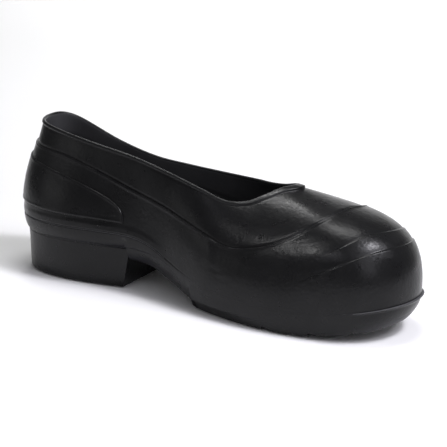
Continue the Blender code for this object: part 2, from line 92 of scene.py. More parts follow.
# Tread outline: half breadths on both sides of the middle line
HEEL_END = (0.0, 0.0)
TOE_END = (312.0, -9.0)
OUTLINE_COLUMNS = ("from_heel", "medial", "lateral")
OUTLINE = (
    (2.0, 18.5, 18.5),
    (8.0, 27.5, 27.0),
    (18.0, 36.0, 34.5),
    (30.0, 41.0, 39.5),
    (48.0, 43.5, 42.0),
    (65.0, 43.0, 44.0),
    (82.0, 40.5, 45.5),
    (103.0, 36.8, 48.5),
    (120.0, 35.6, 51.0),
    (140.0, 38.5, 55.5),
    (160.0, 46.5, 59.3),
    (180.0, 54.5, 61.2),
    (205.0, 60.0, 60.3),
    (230.0, 62.0, 56.5),
    (255.0, 60.3, 48.5),
    (275.0, 56.0, 38.0),
    (290.0, 49.5, 27.5),
    (301.0, 40.0, 17.0),
    (308.5, 28.0, 6.0),
)

# Side of the sole: how far its edges stand out past the outline, and the heights of its top and of the floor
SIDE_COLUMNS = ("from_heel", "bottom_out", "medial_out", "lateral_out", "top", "floor")
SIDE = (
    (0.0, 1.6, 4.0, 4.0, 44.0, 38.0),
    (50.0, 1.8, 4.6, 4.6, 44.0, 38.0),
    (90.0, 1.8, 6.0, 4.4, 44.2, 37.4),
    (110.0, 1.0, 7.6, 4.0, 43.6, 34.6),
    (127.0, 0.0, 8.0, 3.6, 40.0, 29.6),
    (144.0, 0.0, 6.6, 3.0, 33.0, 23.0),
    (165.0, 0.0, 4.2, 2.4, 25.6, 15.8),
    (190.0, 0.0, 2.2, 1.8, 20.0, 11.0),
    (225.0, 0.0, 1.4, 1.4, 17.5, 10.0),
    (260.0, 0.0, 1.8, 1.8, 18.5, 11.4),
    (290.0, 0.0, 3.6, 3.6, 23.0, 15.0),
    (312.0, 0.0, 6.0, 6.0, 27.5, 19.0),
)

# Step along the side of the sole: it rises from the heel to the waist and ends there, then a ledge over the
# rear of the tread dies out in the smooth wall of the forefoot
RAND_COLUMNS = ("from_heel", "height", "step", "undercut")
RAND = (
    (0.0, 33.0, 0.7, 0.0),
    (90.0, 33.2, 0.7, 0.0),
    (110.0, 34.6, 0.7, 0.0),
    (127.0, 33.4, 0.6, 0.0),
    (140.0, 30.2, 0.45, 0.0),
    (150.0, 27.5, 0.2, 0.0),
    (158.0, 18.0, 0.0, 0.0),
    (167.6, 8.8, 0.0, 0.0),
    (168.8, 8.6, 1.8, 2.4),
    (186.0, 8.2, 1.6, 2.2),
    (200.0, 7.8, 1.2, 1.6),
    (214.0, 7.6, 0.7, 0.9),
    (228.0, 7.8, 0.25, 0.3),
    (240.0, 8.4, 0.0, 0.0),
    (312.0, 19.0, 0.0, 0.0),
)
RAND_UNDER = 0.7                     # share of the step that lies back below the line
RAND_OVER = 0.3                      # and that stands proud above it
RAND_FOOT = 0.6                      # part of the setback that is left at the foot of the wall
RAND_LATERAL = (100.0, 130.0, 12.0)  # on the outer side it lies this far back in front of the heel
RAND_REACH = 0.9                     # height that the step takes on each side of its line
RAND_ROOM = (1.3, 3.6)               # least height of wall below and above the line
# Up across the step: height above the line and share of the step
RAND_PROFILE = ((-0.35, -0.95 * RAND_UNDER), (0.0, -0.2), (0.35, 0.9 * RAND_OVER), (RAND_REACH, RAND_OVER))
WALL_ROWS = 5                        # rows of the plain wall below the step, and above it

# Round of the tread's edge: rise and setback, as shares of its chamfer
EDGE_ROUND = ((0.3, 0.35), (1.0, 0.0))
SEAT_CHAMFER = 0.2                   # of the outsole's edge on top of the heel block,
SEAT_RANGE = 0.5                     # which lies no further than this below the heel seat
# Up to the top edge of the sole: drop below it and share of the toe's lip
LIP_PROFILE = ((1.7, 0.12), (1.1, 0.5), (0.6, 0.95), (0.25, 1.0), (0.0, 0.8))
LIP_ROOM = 2.4                       # height below the top edge that is left for the lip
FLOOR_TURNS = (20.0, 45.0, 70.0, 90.0)  # degrees round the fillet from that edge to the floor

# Lines across the tread: where each one meets the medial and the lateral edge, with a height in WAIST
BREAST = (104.9, 99.4)
WAIST = (
    (105.2, 99.7, BREAST_TOP),
    (125.0, 116.0, 20.6),
    (139.0, 129.0, 15.0),
    (152.0, 141.0, 10.8),
    (166.0, 154.0, WAIST_FRONT),
)
TREAD_END = (168.5, 156.5)
GROOVES = ((227.9, 188.8), (261.5, 230.7), (288.4, 270.6))
# Across a groove from its steep rear face to its ramp: run and depth
GROOVE_PROFILE = ((0.0, 0.0), (0.6, 3.6), (1.9, 3.8), (2.9, 2.5), (4.4, 1.9), (9.0, 0.0))

# Spacing of the rungs across the sole
BARE_SPACING = 4.0
WAIST_SPACING = 3.0
TREAD_SPACING = 0.75
GROOVE_SPACING = 0.6
TREAD_END_SPACING = 0.5
WAIST_RUNGS = 25
SIPE_START = 1.5           # the sipes start this far past a groove or the end of the tread
SIPE_STOP = 0.8            # and stop this far short of a groove
TREAD_END_REACH = 14.0     # length over which the bow of the tread's end fades

# Levels of the heel block: height, how far it stands out, and how far its breast lies back
HEEL_LEVELS = (
    (TREAD_HEIGHT, -EDGE_CHAMFER, 5.0),
    (TREAD_HEIGHT + 0.4 * EDGE_CHAMFER, -0.3 * EDGE_CHAMFER, 4.9),
    (TREAD_HEIGHT + EDGE_CHAMFER, 0.0, 4.8),
    (8.0, 0.3, 3.7),
    (16.0, 0.65, 2.2),
    (BREAST_TOP, 1.0, 0.8),
    (HEEL_SEAT - 1.2, 1.5, 0.4),
    (HEEL_SEAT - 0.1, 1.6, 0.35),
)
EDGE_RISE = 0.1            # least height between the levels of its rounded edge

# Sections of the upper: where each one starts on the sole edge, its point on the collar, the curve between
# them, and the shares of its height at which the raised lines run
SECTION_COLUMNS = ("side", "from_heel", "rim_x", "rim_y", "rim_z", "bulge", "wall", "crown", "lean",
                   "bumper", "cap", "seam")
SECTIONS = (
    ("medial", 0.0, 6.0, 0.0, 117.0, 3.5, 0.38, 24.0, 74.0, 0.14, 0.28, 0.74),
    ("medial", 18.0, 17.0, -22.0, 115.0, 2.5, 0.36, 24.0, 78.0, 0.14, 0.28, 0.74),
    ("medial", 50.0, 47.0, -31.5, 110.5, 1.0, 0.34, 24.0, 80.0, 0.14, 0.28, 0.76),
    ("medial", 84.0, 79.0, -34.0, 105.5, -1.5, 0.34, 24.0, 80.0, 0.14, 0.28, 0.69),
    ("medial", 115.0, 108.0, -35.0, 100.8, -3.0, 0.34, 22.0, 78.0, 0.14, 0.28, 0.575),
    ("medial", 145.0, 139.0, -36.0, 93.2, -1.5, 0.36, 22.0, 72.0, 0.14, 0.28, 0.565),
    ("medial", 175.0, 165.0, -36.8, 85.9, 0.0, 0.40, 24.0, 60.0, 0.14, 0.28, 0.54),
    ("medial", 202.0, 183.0, -35.2, 80.0, 0.0, 0.44, 28.0, 46.0, 0.14, 0.28, 0.505),
    ("medial", 228.0, 196.5, -29.8, 80.0, 0.0, 0.50, 36.0, 32.0, 0.145, 0.30, 0.538),
    ("medial", 255.0, 206.0, -20.5, 84.2, 0.0, 0.58, 48.0, 20.0, 0.205, 0.33, 0.58),
    ("medial", 280.0, 212.5, -11.0, 87.4, 0.5, 0.72, 60.0, 13.0, 0.267, 0.378, 0.638),
    ("medial", 302.0, 217.5, -4.5, 88.5, 1.0, 0.82, 67.0, 10.5, 0.317, 0.456, 0.702),
    ("medial", 312.0, 219.5, 0.0, 88.8, 1.0, 0.84, 68.0, 10.0, 0.318, 0.443, 0.724),
    ("lateral", 304.0, 218.5, 4.0, 88.5, 1.0, 0.82, 67.0, 10.5, 0.302, 0.398, 0.684),
    ("lateral", 288.0, 214.0, 9.5, 87.2, 1.0, 0.77, 62.0, 12.0, 0.28, 0.37, 0.645),
    ("lateral", 265.0, 204.0, 15.5, 84.8, 0.5, 0.66, 52.0, 17.0, 0.235, 0.345, 0.60),
    ("lateral", 238.0, 191.0, 21.5, 83.0, 0.0, 0.56, 44.0, 26.0, 0.18, 0.325, 0.55),
    ("lateral", 208.0, 174.0, 29.5, 82.2, 0.0, 0.48, 34.0, 38.0, 0.15, 0.29, 0.51),
    ("lateral", 178.0, 154.0, 34.5, 82.2, 0.0, 0.42, 26.0, 54.0, 0.14, 0.28, 0.52),
    ("lateral", 148.0, 135.0, 36.0, 83.0, -0.5, 0.38, 20.0, 66.0, 0.14, 0.28, 0.56),
    ("lateral", 118.0, 110.0, 35.5, 84.8, -1.5, 0.34, 18.0, 74.0, 0.14, 0.28, 0.62),
    ("lateral", 88.0, 84.0, 34.5, 87.5, -1.0, 0.34, 18.0, 78.0, 0.14, 0.28, 0.70),
    ("lateral", 52.0, 50.0, 33.0, 96.5, 1.0, 0.34, 22.0, 80.0, 0.14, 0.28, 0.74),
    ("lateral", 18.0, 17.0, 22.0, 113.5, 2.5, 0.36, 24.0, 78.0, 0.14, 0.28, 0.74),
)
BUMPER_FADE = (252.0, 280.0)
CAP_FADE = (270.0, 296.0)
THROAT_STRETCH = (258.0, 298.0)

# Across a raised line of the upper, from the proud side to the low side: distance, share of the step, ridge
LINE_PROFILE = (
    (-2.6, 1.0, 0.0),
    (-1.6, 1.0, 0.1),
    (-0.9, 1.0, 0.3),
    (-0.4, 0.95, 0.28),
    (-0.1, 0.6, 0.05),
    (0.15, 0.15, -0.3),
    (0.55, 0.0, -0.55),
    (1.2, 0.0, -0.42),
    (1.9, 0.0, -0.12),
    (2.9, 0.0, 0.0),
)

# Soft creases of the rubber: side, distance from the heel and share of the wall's height, then half length,
# half width, depth (a ridge is negative) and slant in degrees
CREASES = (
    ("medial", 190.0, 0.22, 7.0, 2.4, 0.18, 6.0),
    ("medial", 195.0, 0.15, 6.0, 2.2, 0.14, 4.0),
    ("medial", 185.0, 0.36, 4.0, 11.0, -0.45, -8.0),
    ("medial", 266.0, 0.36, 20.0, 9.0, -0.9, -8.0),
    ("medial", 268.0, 0.78, 22.0, 7.0, 0.25, 30.0),
    ("lateral", 196.0, 0.22, 9.0, 2.0, 0.35, -6.0),
    ("lateral", 205.0, 0.60, 18.0, 6.0, 0.5, -12.0),
    ("lateral", 250.0, 0.78, 22.0, 7.0, 0.4, -30.0),
)

# Heel counter: its reach along the sides and the shares of the wall's height between which it lies
COUNTER_FRONT = 103.0
COUNTER_LOW = 0.13
COUNTER_HIGH = 0.60
COUNTER_CORNER = 2.6
COUNTER_END = 0.08
COUNTER_THICKNESS = 0.9
COUNTER_ROUND = 0.9        # breadth of its rounded edge
COUNTER_RIDGE = 0.2
RIDGE_INSET = 1.4          # from the edge to the crest of the ridge that follows it
RIDGE_WIDTH = 0.8

# Studs: distance from the heel and from the middle line, the inner side negative
FOREFOOT_STUDS = (
    (300.4, -8.7), (297.9, -26.2), (290.5, 13.2), (274.9, -40.8), (265.8, -3.0),
    (256.8, 35.6), (243.3, -46.5), (234.2, -16.1), (225.1, 15.0), (215.5, 45.8),
    (208.2, -48.3), (198.1, -17.3), (187.1, 13.5), (176.2, 45.2),
)
HEEL_STUDS = (
    (77.3, 31.6), (79.2, 2.0), (81.7, -27.9), (54.0, 31.2), (56.0, -0.3),
    (58.5, -31.5), (31.1, 27.2), (35.7, -31.8), (10.0, 10.0), (12.2, -16.7),
)

# Half section of a stud, from the hidden end of its shank to the flat tip of the pin in its middle
STUD_PROFILE = (
    (0.0, STUD_DEPTH), (2.0, STUD_DEPTH), (STUD_RADIUS, STUD_DEPTH - 0.2), (STUD_RADIUS, -0.2),
    (2.12, -0.38), (1.7, -0.74), (1.5, -0.84), (1.25, -0.84), (1.12, -0.76), (1.08, -0.78),
    (1.02, -1.08), (0.88, -1.2), (0.0, -1.2),
)
PIN_RADIUS = 1.115

# Wavy sipes of the tread
SIPE_PITCH = 6.2           # from one sipe to the next
SIPE_WAVE = 11.0           # length of a wave
SIPE_SWING = 1.7           # half its height
SIPE_SKEW = 0.7            # how much its crests lean to one side
SIPE_DEPTH = 1.1
SIPE_FACE = 0.55           # run of the steep face
SIPE_RAMP = 2.6            # and of the ramp in front of it
SIPE_MARGIN = (3.0, 5.0)   # the sipes die out along the edges between these distances
PANEL_EDGE = 8.0           # bare panel on the inner side behind the last studs: its outer edge,
PANEL_FRONT = 186.0        # where its front meets the middle line
PANEL_SLANT = 0.33         # and how far that front moves on for each millimetre to the inner side
PANEL_SOFT = 3.0           # the sipes die out over this breadth along it
GROOVE_EDGE = (0.5, 7.0)   # the grooves reach their full depth between these distances from the edge
GROOVE_SHALLOW = 0.45
STUD_LAND = (3.4, 5.6)     # the sipes die out round each stud between these radii
STUD_DIMPLE = (2.3, 3.3)   # and the rubber dips next to it
DIMPLE_DEPTH = 0.45


# Curves of the shoe

def column(table, columns, name):
    """One named column of a table, as an array."""
    return np.array([row[columns.index(name)] for row in table], dtype=float)


def smooth(knots, values, at):
    """Smooth curve through values at rising knots, with slopes taken from the neighbours."""
    slopes = np.gradient(values, knots, axis=0)
    span = np.clip(np.searchsorted(knots, at, side="right") - 1, 0, len(knots) - 2)
    width = knots[span + 1] - knots[span]
    t = (at - knots[span]) / width
    if np.ndim(values) > 1:
        t = t[:, None]
        width = width[:, None]
    start = values[span] * (2 * t ** 3 - 3 * t ** 2 + 1) + slopes[span] * width * (t ** 3 - 2 * t ** 2 + t)
    end = values[span + 1] * (3 * t ** 2 - 2 * t ** 3) + slopes[span + 1] * width * (t ** 3 - t ** 2)
    return start + end


def smooth_step(low, high, value):
    """Rise from 0 to 1 between two values, level at both ends."""
    t = np.clip((value - low) / (high - low), 0.0, 1.0)
    return t * t * (3 - 2 * t)


def trace_outline(samples=2400, wrap=4):
    """The tread outline as two edges from the heel to the toe: distance along, points and normals."""
    from_heel = column(OUTLINE, OUTLINE_COLUMNS, "from_heel")
    medial = np.stack([from_heel, -column(OUTLINE, OUTLINE_COLUMNS, "medial")], 1)
    lateral = np.stack([from_heel, column(OUTLINE, OUTLINE_COLUMNS, "lateral")], 1)
    loop = np.vstack([[HEEL_END], medial, [TOE_END], lateral[::-1]])
    ring = np.vstack([loop[-wrap:], loop, loop[:wrap + 1]])
    knots = np.concatenate([[0.0], np.cumsum(np.linalg.norm(np.diff(ring, axis=0), axis=1))])
    heel, toe, back = knots[wrap], knots[wrap + len(medial) + 1], knots[wrap + len(loop)]
    edges = {}
    for side, start, stop, turn in (("medial", heel, toe, 1.0), ("lateral", back, toe, -1.0)):
        at = np.linspace(start, stop, samples)
        points = smooth(knots, ring, at)
        along = np.concatenate([[0.0], np.cumsum(np.linalg.norm(np.diff(points, axis=0), axis=1))])
        tangent = np.gradient(points, along, axis=0)
        normal = np.stack([tangent[:, 1], -tangent[:, 0]], 1) * turn
        normal /= np.linalg.norm(normal, axis=1)[:, None]
        edges[side] = {"share": along / along[-1], "length": along[-1], "points": points, "normals": normal}
    for end in (0, -1):
        shared = edges["medial"]["normals"][end] + edges["lateral"]["normals"][end]
        for side in edges:
            edges[side]["normals"][end] = shared / np.linalg.norm(shared)
    return edges


EDGES = trace_outline()


def share_at(side, from_heel):
    """How far along an edge, from 0 at the heel to 1 at the toe, it passes a distance from the heel."""
    edge = EDGES[side]
    return float(np.interp(from_heel, edge["points"][:, 0], edge["share"]))


def edge_at(around):
    """Points and outward normals of the tread outline; around runs 0 heel, 1 toe, 2 heel again."""
    around = np.mod(around, 2.0)
    points = np.empty((len(around), 2))
    normals = np.empty((len(around), 2))
    for side, mask, share in (("medial", around <= 1.0, around), ("lateral", around > 1.0, 2.0 - around)):
        edge = EDGES[side]
        for axis in (0, 1):
            points[mask, axis] = np.interp(share[mask], edge["share"], edge["points"][:, axis])
            normals[mask, axis] = np.interp(share[mask], edge["share"], edge["normals"][:, axis])
    return points, normals / np.linalg.norm(normals, axis=1)[:, None]


def side_value(name, from_heel):
    """A column of SIDE at any distance from the heel."""
    knots = column(SIDE, SIDE_COLUMNS, "from_heel")
    return smooth(knots, column(SIDE, SIDE_COLUMNS, name), np.clip(from_heel, knots[0], knots[-1]))


def top_out(around, from_heel):
    """How far the top edge of the sole stands out past the tread outline."""
    medial = side_value("medial_out", from_heel)
    return np.where(np.mod(around, 2.0) <= 1.0, medial, side_value("lateral_out", from_heel))


def spring(from_heel):
    """Lift of the tread towards the toe."""
    run = np.clip((from_heel - SPRING_START) / (TOE_END[0] - SPRING_START), 0.0, None)
    return TOE_SPRING * run ** 2


def toe_steps(from_heel):
    """How far the toe's cap and bumper together stand proud."""
    return CAP_STEP * smooth_step(*CAP_FADE, from_heel) + BUMPER_STEP * smooth_step(*BUMPER_FADE, from_heel)


def foot_relief(from_heel):
    """How far the foot of the upper stands proud of its base; the top of the sole is flush with it."""
    return SEAM_STEP + toe_steps(from_heel) + FOX * (1.0 - smooth_step(*FOX_FADE, from_heel))


def joint_depth(from_heel):
    """Depth of the groove where the upper meets the sole."""
    return JOINT_DEPTH * (1.0 - smooth_step(*JOINT_FADE, from_heel))


def rand_at(around, from_heel):
    """Height and depth of the step along the side of the sole, and how far the wall below it leans in."""
    back = RAND_LATERAL[2] * smooth_step(*RAND_LATERAL[:2], from_heel)
    place = from_heel + np.where(np.mod(around, 2.0) <= 1.0, 0.0, back)
    knots = column(RAND, RAND_COLUMNS, "from_heel")
    return [np.interp(place, knots, column(RAND, RAND_COLUMNS, name)) for name in RAND_COLUMNS[1:]]


def place_round(side, from_heel):
    """The place round the shoe, from 0 to 2, of a point on one of its edges."""
    share = share_at(side, from_heel)
    return share if side == "medial" else 2.0 - share


def section_values(around):
    """The columns of SECTIONS at any place round the shoe."""
    names = SECTION_COLUMNS[2:]
    places = np.array([place_round(row[0], row[1]) for row in SECTIONS])
    order = np.argsort(places)
    values = np.array([row[2:] for row in SECTIONS], dtype=float)[order]
    knots = np.concatenate([places[order] - 2.0, places[order], places[order] + 2.0])
    found = smooth(knots, np.vstack([values, values, values]), np.mod(around, 2.0))
    return {name: found[:, i] for i, name in enumerate(names)}


def upper_base(around, height):
    """Points of the upper's outer wall without its raised lines; height runs 0 sole, 1 collar."""
    points, normals = edge_at(around)
    row = section_values(around)
    out = top_out(around, points[:, 0])
    foot = np.column_stack([points + normals * out[:, None], side_value("top", points[:, 0]) + SEAT_GAP])
    rim = np.column_stack([row["rim_x"], row["rim_y"], row["rim_z"]])
    inward = (rim - foot) * (1.0, 1.0, 0.0)
    inward /= np.linalg.norm(inward, axis=1)[:, None]
    lean = np.radians(row["lean"])[:, None]
    up = np.array([0.0, 0.0, 1.0])
    rise = (row["wall"] * (rim[:, 2] - foot[:, 2]))[:, None]
    low = foot + np.column_stack([normals, np.zeros(len(around))]) * row["bulge"][:, None] + up * rise
    high = rim - (inward * np.cos(lean) + up * np.sin(lean)) * row["crown"][:, None]
    t = height[:, None]
    return foot * (1 - t) ** 3 + low * 3 * t * (1 - t) ** 2 + high * 3 * t ** 2 * (1 - t) + rim * t ** 3


def unit(vectors):
    """Rows of vectors at length 1."""
    return vectors / np.linalg.norm(vectors, axis=1)[:, None]


def upper_frame(around, height, delta=0.004):
    """Points of the base wall with its outward normals and its upward directions."""
    along = upper_base(around + delta, height) - upper_base(around - delta, height)
    low, high = np.clip(height - delta, 0.0, 1.0), np.clip(height + delta, 0.0, 1.0)
    rise = upper_base(around, high) - upper_base(around, low)
    return upper_base(around, height), unit(np.cross(along, rise)), unit(rise)


def wall_speed(around, height, delta=0.01):
    """Millimetres of wall for a full share of its height, near one height."""
    low, high = np.clip(height - delta, 0.0, 1.0), np.clip(height + delta, 0.0, 1.0)
    run = np.linalg.norm(upper_base(around, high) - upper_base(around, low), axis=1)
    return run / (high - low)


# Building by hand

def deselect():
    """Leave edit mode and select nothing."""
    if bpy.context.mode != "OBJECT":
        bpy.ops.object.mode_set(mode="OBJECT")
    bpy.ops.object.select_all(action="DESELECT")


def to_metres(points):
    """Points of the shoe in the frame of the solids."""
    return (np.asarray(points) - (CENTRE_FROM_HEEL, CENTRE_ACROSS, 0.0)) * MM


def shape(obj, points):
    """Move every vertex of a fresh primitive to its place."""
    flat = to_metres(points).reshape(-1, 3)
    assert len(flat) == len(obj.data.vertices), (obj.name, len(flat), len(obj.data.vertices))
    obj.data.vertices.foreach_set("co", flat.astype(np.float32).ravel())
    obj.data.update()


def shaped_grid(name, points):
    """A grid primitive with as many vertices as the table of points, shaped to it."""
    rows, columns = points.shape[:2]
    deselect()
    bpy.ops.mesh.primitive_grid_add(x_subdivisions=columns - 1, y_subdivisions=rows - 1, size=0.1)
    obj = bpy.context.object
    obj.name = name
    shape(obj, points)
    return obj


def join(first, *others):
    """Make one object of several."""
    deselect()
    for obj in (first, *others):
        obj.select_set(True)
    bpy.context.view_layer.objects.active = first
    bpy.ops.object.join()
    return first


def weld(obj, distance=0.000004):
    """Merge the seams of a piece and turn its faces outwards."""
    deselect()
    obj.select_set(True)
    bpy.context.view_layer.objects.active = obj
    bpy.ops.object.mode_set(mode="EDIT")
    bpy.ops.mesh.select_all(action="SELECT")
    bpy.ops.mesh.remove_doubles(threshold=distance)
    bpy.ops.mesh.dissolve_degenerate(threshold=distance)
    bpy.ops.mesh.normals_make_consistent(inside=False)
    bpy.ops.object.mode_set(mode="OBJECT")


def finish_piece(obj, slot, *nodes, angle=40.0):
    """Shade a piece smooth up to an angle and let it stand for its solids."""
    deselect()
    obj.select_set(True)
    bpy.context.view_layer.objects.active = obj
    bpy.ops.object.shade_smooth_by_angle(angle=math.radians(angle))
    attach(obj, "root")
    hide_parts(*nodes)
    deselect()


# Upper

def crease_depth(around, height):
    """How far the soft creases press the wall in."""
    depth = np.zeros(len(around))
    for side, from_heel, middle, length, width, deep, slant in CREASES:
        place = place_round(side, from_heel)
        speed = wall_speed(np.array([place]), np.array([middle]))[0]
        u = (around - place) * EDGES[side]["length"]
        v = (height - middle) * speed
        turn = math.radians(slant)
        along = u * math.cos(turn) + v * math.sin(turn)
        off = v * math.cos(turn) - u * math.sin(turn)
        depth += deep * np.exp(-(along / length) ** 2 - (off / width) ** 2)
    return depth


def line_rows(around, line, below, above, ridge, profile):
    """Rows across a raised line, from below it to above it, with their heights and relief."""
    speed = wall_speed(around, line)
    proud_below = np.mean(below) > np.mean(above)
    proud, low = (below, above) if proud_below else (above, below)
    rows = []
    for distance, share, bump in profile:
        offset = distance if proud_below else -distance
        rows.append((line + offset / speed, low + (proud - low) * share + bump * ridge))
    return rows if proud_below else rows[::-1]


def outer_rows(around, counts=(16, 5, 16, 18)):
    """Rows of the outer wall from the sole to the collar; counts are the rows between the lines."""
    row = section_values(around)
    points, _ = edge_at(around)
    near_toe = smooth_step(*BUMPER_FADE, points[:, 0])
    at_toe = smooth_step(*CAP_FADE, points[:, 0])
    fox = FOX * (1.0 - smooth_step(*FOX_FADE, points[:, 0]))
    foot_speed = wall_speed(around, np.zeros(len(around)))
    throat = smooth_step(*THROAT_STRETCH, points[:, 0])
    none = np.zeros(len(around))
    cap = SEAM_STEP + CAP_STEP * at_toe
    bead = BEAD + (THROAT_LIP - BEAD) * throat
    collar = 1.0 - np.maximum(BEAD_WIDTH, BEAD_BAND / wall_speed(around, 1.0 + none))
    lines = (
        (row["bumper"], cap + BUMPER_STEP * near_toe, cap, BUMPER_RIDGE * near_toe, LINE_PROFILE),
        (row["cap"], cap, SEAM_STEP + none, CAP_RIDGE * at_toe, LINE_PROFILE),
        (row["seam"], SEAM_STEP + none, none, SEAM_RIDGE + SEAM_TOE_RIDGE * near_toe, LINE_PROFILE),
        (collar, none, bead, COLLAR_RIDGE + none, LINE_PROFILE[2:]),
    )
    rows = [(none, lines[0][1])]
    for (line, below, above, ridge, profile), count in zip(lines, counts):
        group = line_rows(around, line, below, above, ridge, profile)
        start, relief = rows[-1]
        for i in range(1, count + 1):
            rows.append((start + (group[0][0] - start) * i / (count + 1), relief))
        rows.extend(group)
    joint = joint_depth(points[:, 0])
    finished = []
    for height, relief in rows:
        rise = height * foot_speed
        relief = relief + fox * (1.0 - smooth_step(*FOX_TOP, rise))
        finished.append((height, relief - joint * (1.0 - smooth_step(0.0, JOINT_WIDTH, rise))))
    return finished


def make_upper(stations=440, rim_rows=10, inner_rows=34):
    """One closed wall, a ring whose section runs up outside, over the rolled edge and down inside."""
    around = np.linspace(0.0, 2.0, stations + 1)
    sheets = []
    for height, relief in outer_rows(around):
        base, normal, _ = upper_frame(around, height)
        sheets.append(base + normal * (relief - crease_depth(around, height))[:, None])
    bead = relief
    radius = (WALL + bead) / 2
    top = 1.0 - RIM_ROUND * radius / wall_speed(around, np.ones(stations + 1))
    base, normal, rise = upper_frame(around, top)
    for i in range(rim_rows):
        turn = math.pi * i / (rim_rows - 1)
        swing = (bead - radius + radius * math.cos(turn))[:, None]
        sheets.append(base + normal * swing + rise * (RIM_ROUND * radius * math.sin(turn))[:, None])
    outside = len(sheets)
    row = section_values(around)
    points, _ = edge_at(around)
    extra = toe_steps(points[:, 0])
    for i in range(1, inner_rows + 1):
        height = top * (1.0 - i / inner_rows)
        base, normal, _ = upper_frame(around, height)
        step = SEAM_STEP * (1.0 - smooth_step(row["seam"] - INNER_SOFT, row["seam"] + INNER_SOFT, height))
        step += extra * (1.0 - smooth_step(row["bumper"] - INNER_SOFT, row["cap"] + INNER_SOFT, height))
        sheets.append(base + normal * (step - WALL)[:, None])
    sheets.append(sheets[0])
    obj = shaped_grid("upper_shell", np.stack(sheets, axis=1))
    obj.data.materials.append(material_upper_rubber())
    obj.data.materials.append(material_inner_rubber_painted_light())
    rows = np.arange(len(obj.data.polygons)) % (len(sheets) - 1)
    # The inside gets a rubber painted lighter grey: painted light that lifts the shade inside the shoe
    # The matt inside starts at the last row of the rolled edge and ends above the foot of the wall
    inside = (rows >= outside - 2) & (rows < len(sheets) - 2)
    obj.data.polygons.foreach_set("material_index", inside.astype(np.int32))
    weld(obj)
    finish_piece(obj, "upper_rubber", "upper", angle=55.0)


def make_counter(columns=150, rows=44):
    """The heel counter, a thin patch with a ridge round its edge, on the upper's own wall."""
    u = np.sin(np.linspace(-1.0, 1.0, columns + 1) * math.pi / 2)
    v = (1.0 - np.cos(np.linspace(0.0, math.pi, rows + 1))) / 2
    front = share_at("medial", COUNTER_FRONT)
    tall = (1.0 - np.abs(u) ** COUNTER_CORNER) ** (1.0 / COUNTER_CORNER)
    tall = COUNTER_END + (1.0 - COUNTER_END) * tall
    sheets = {"outer": [], "inner": []}
    for share in v:
        height = COUNTER_LOW + (COUNTER_HIGH - COUNTER_LOW) * tall * share
        base, normal, _ = upper_frame(u * front, height)
        span = (COUNTER_HIGH - COUNTER_LOW) * tall * wall_speed(u * front, height)
        ends = (1.0 - np.abs(u)) * front * EDGES["medial"]["length"]
        border = np.minimum(np.minimum(share, 1.0 - share) * span, ends)
        rise = np.sqrt(np.clip(1.0 - (1.0 - np.clip(border / COUNTER_ROUND, 0.0, 1.0)) ** 2, 0.0, 1.0))
        ridge = COUNTER_RIDGE * np.exp(-((border - RIDGE_INSET) / RIDGE_WIDTH) ** 2)
        floor = SEAM_STEP + SEAT_GAP
        sheets["outer"].append(base + normal * (floor + (COUNTER_THICKNESS + ridge) * rise)[:, None])
        sheets["inner"].append(base + normal * floor)
    outer = shaped_grid("heel_counter_patch", np.stack(sheets["outer"]))
    inner = shaped_grid("counter_back", np.stack(sheets["inner"]))
    obj = join(outer, inner)
    weld(obj)
    obj.data.materials.append(material_upper_rubber())
    finish_piece(obj, "upper_rubber", "heel_counter")


# Sole

def tread_height(from_heel, across, base, pattern):
    """Underside of the tread with its sipes and the dimples round the studs, above the floor."""
    phase = math.tau * across / SIPE_WAVE
    wave = SIPE_SWING * np.sin(phase + SIPE_SKEW * np.sin(phase))
    run = np.mod(from_heel + wave, SIPE_PITCH)
    sipe = np.minimum(run / SIPE_FACE, np.clip((SIPE_FACE + SIPE_RAMP - run) / SIPE_RAMP, 0.0, 1.0))
    sipe = np.clip(sipe, 0.0, 1.0) * pattern
    dimple = np.zeros_like(sipe)
    for stud_x, stud_y in FOREFOOT_STUDS + HEEL_STUDS:
        away = np.hypot(from_heel - stud_x, across - stud_y)
        sipe = sipe * smooth_step(*STUD_LAND, away)
        dimple = np.maximum(dimple, 1.0 - smooth_step(*STUD_DIMPLE, away))
    return base + spring(from_heel) * (base < WAIST_FRONT) + SIPE_DEPTH * sipe + DIMPLE_DEPTH * dimple


def sole_marks():
    """Lines across the sole from the heel to the toe: edge shares, height, tread pattern and rung spacing."""
    marks = [(0.0, 0.0, HEEL_SEAT, 0.0, BARE_SPACING)]

    def mark(medial, lateral, height, pattern, spacing):
        marks.append((share_at("medial", medial), share_at("lateral", lateral), height, pattern, spacing))

    mark(*BREAST, HEEL_SEAT, 0.0, BARE_SPACING)
    knots = np.array([row[0] for row in WAIST])
    for medial in np.linspace(knots[0], knots[-1], WAIST_RUNGS):
        lateral, height = smooth(knots, np.array([row[1:] for row in WAIST]), np.array([medial]))[0]
        mark(medial, lateral, height, 0.0, WAIST_SPACING)
    mark(*TREAD_END, TREAD_HEIGHT, 0.0, TREAD_END_SPACING)
    mark(TREAD_END[0] + SIPE_START, TREAD_END[1] + SIPE_START, TREAD_HEIGHT, 1.0, TREAD_SPACING)
    for medial, lateral in GROOVES:
        mark(medial - SIPE_STOP, lateral - SIPE_STOP, TREAD_HEIGHT, 1.0, TREAD_SPACING)
        for run, depth in GROOVE_PROFILE:
            mark(medial + run, lateral + run, TREAD_HEIGHT + depth, 0.0, GROOVE_SPACING)
        past = GROOVE_PROFILE[-1][0] + SIPE_START
        mark(medial + past, lateral + past, TREAD_HEIGHT, 1.0, TREAD_SPACING)
    marks.append((1.0, 1.0, TREAD_HEIGHT, 1.0, TREAD_SPACING))
    return marks


